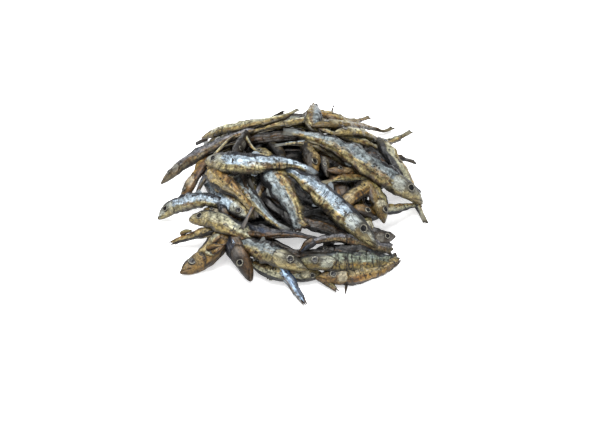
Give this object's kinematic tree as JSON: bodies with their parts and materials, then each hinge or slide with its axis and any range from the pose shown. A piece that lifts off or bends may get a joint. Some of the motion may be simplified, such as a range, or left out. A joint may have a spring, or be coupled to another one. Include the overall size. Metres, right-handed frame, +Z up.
{
  "type": "heap of dried baltic sprat",
  "caption": "Loose heap of small whole dried fish, lying as poured, with heads, tails and silvery flanks showing.",
  "frame": {"origin": "middle of the heap's footprint, on the surface that it lies on", "axes": "+Z up, +X to the viewer's right, +Y away from the viewer"},
  "size_m": [0.202, 0.2171, 0.0555],
  "materials": {
    "dried_sprat": "satin"
  },
  "bodies": {
    "root": {"sprat_heap": "dried_sprat"}
  },
  "joints": []
}
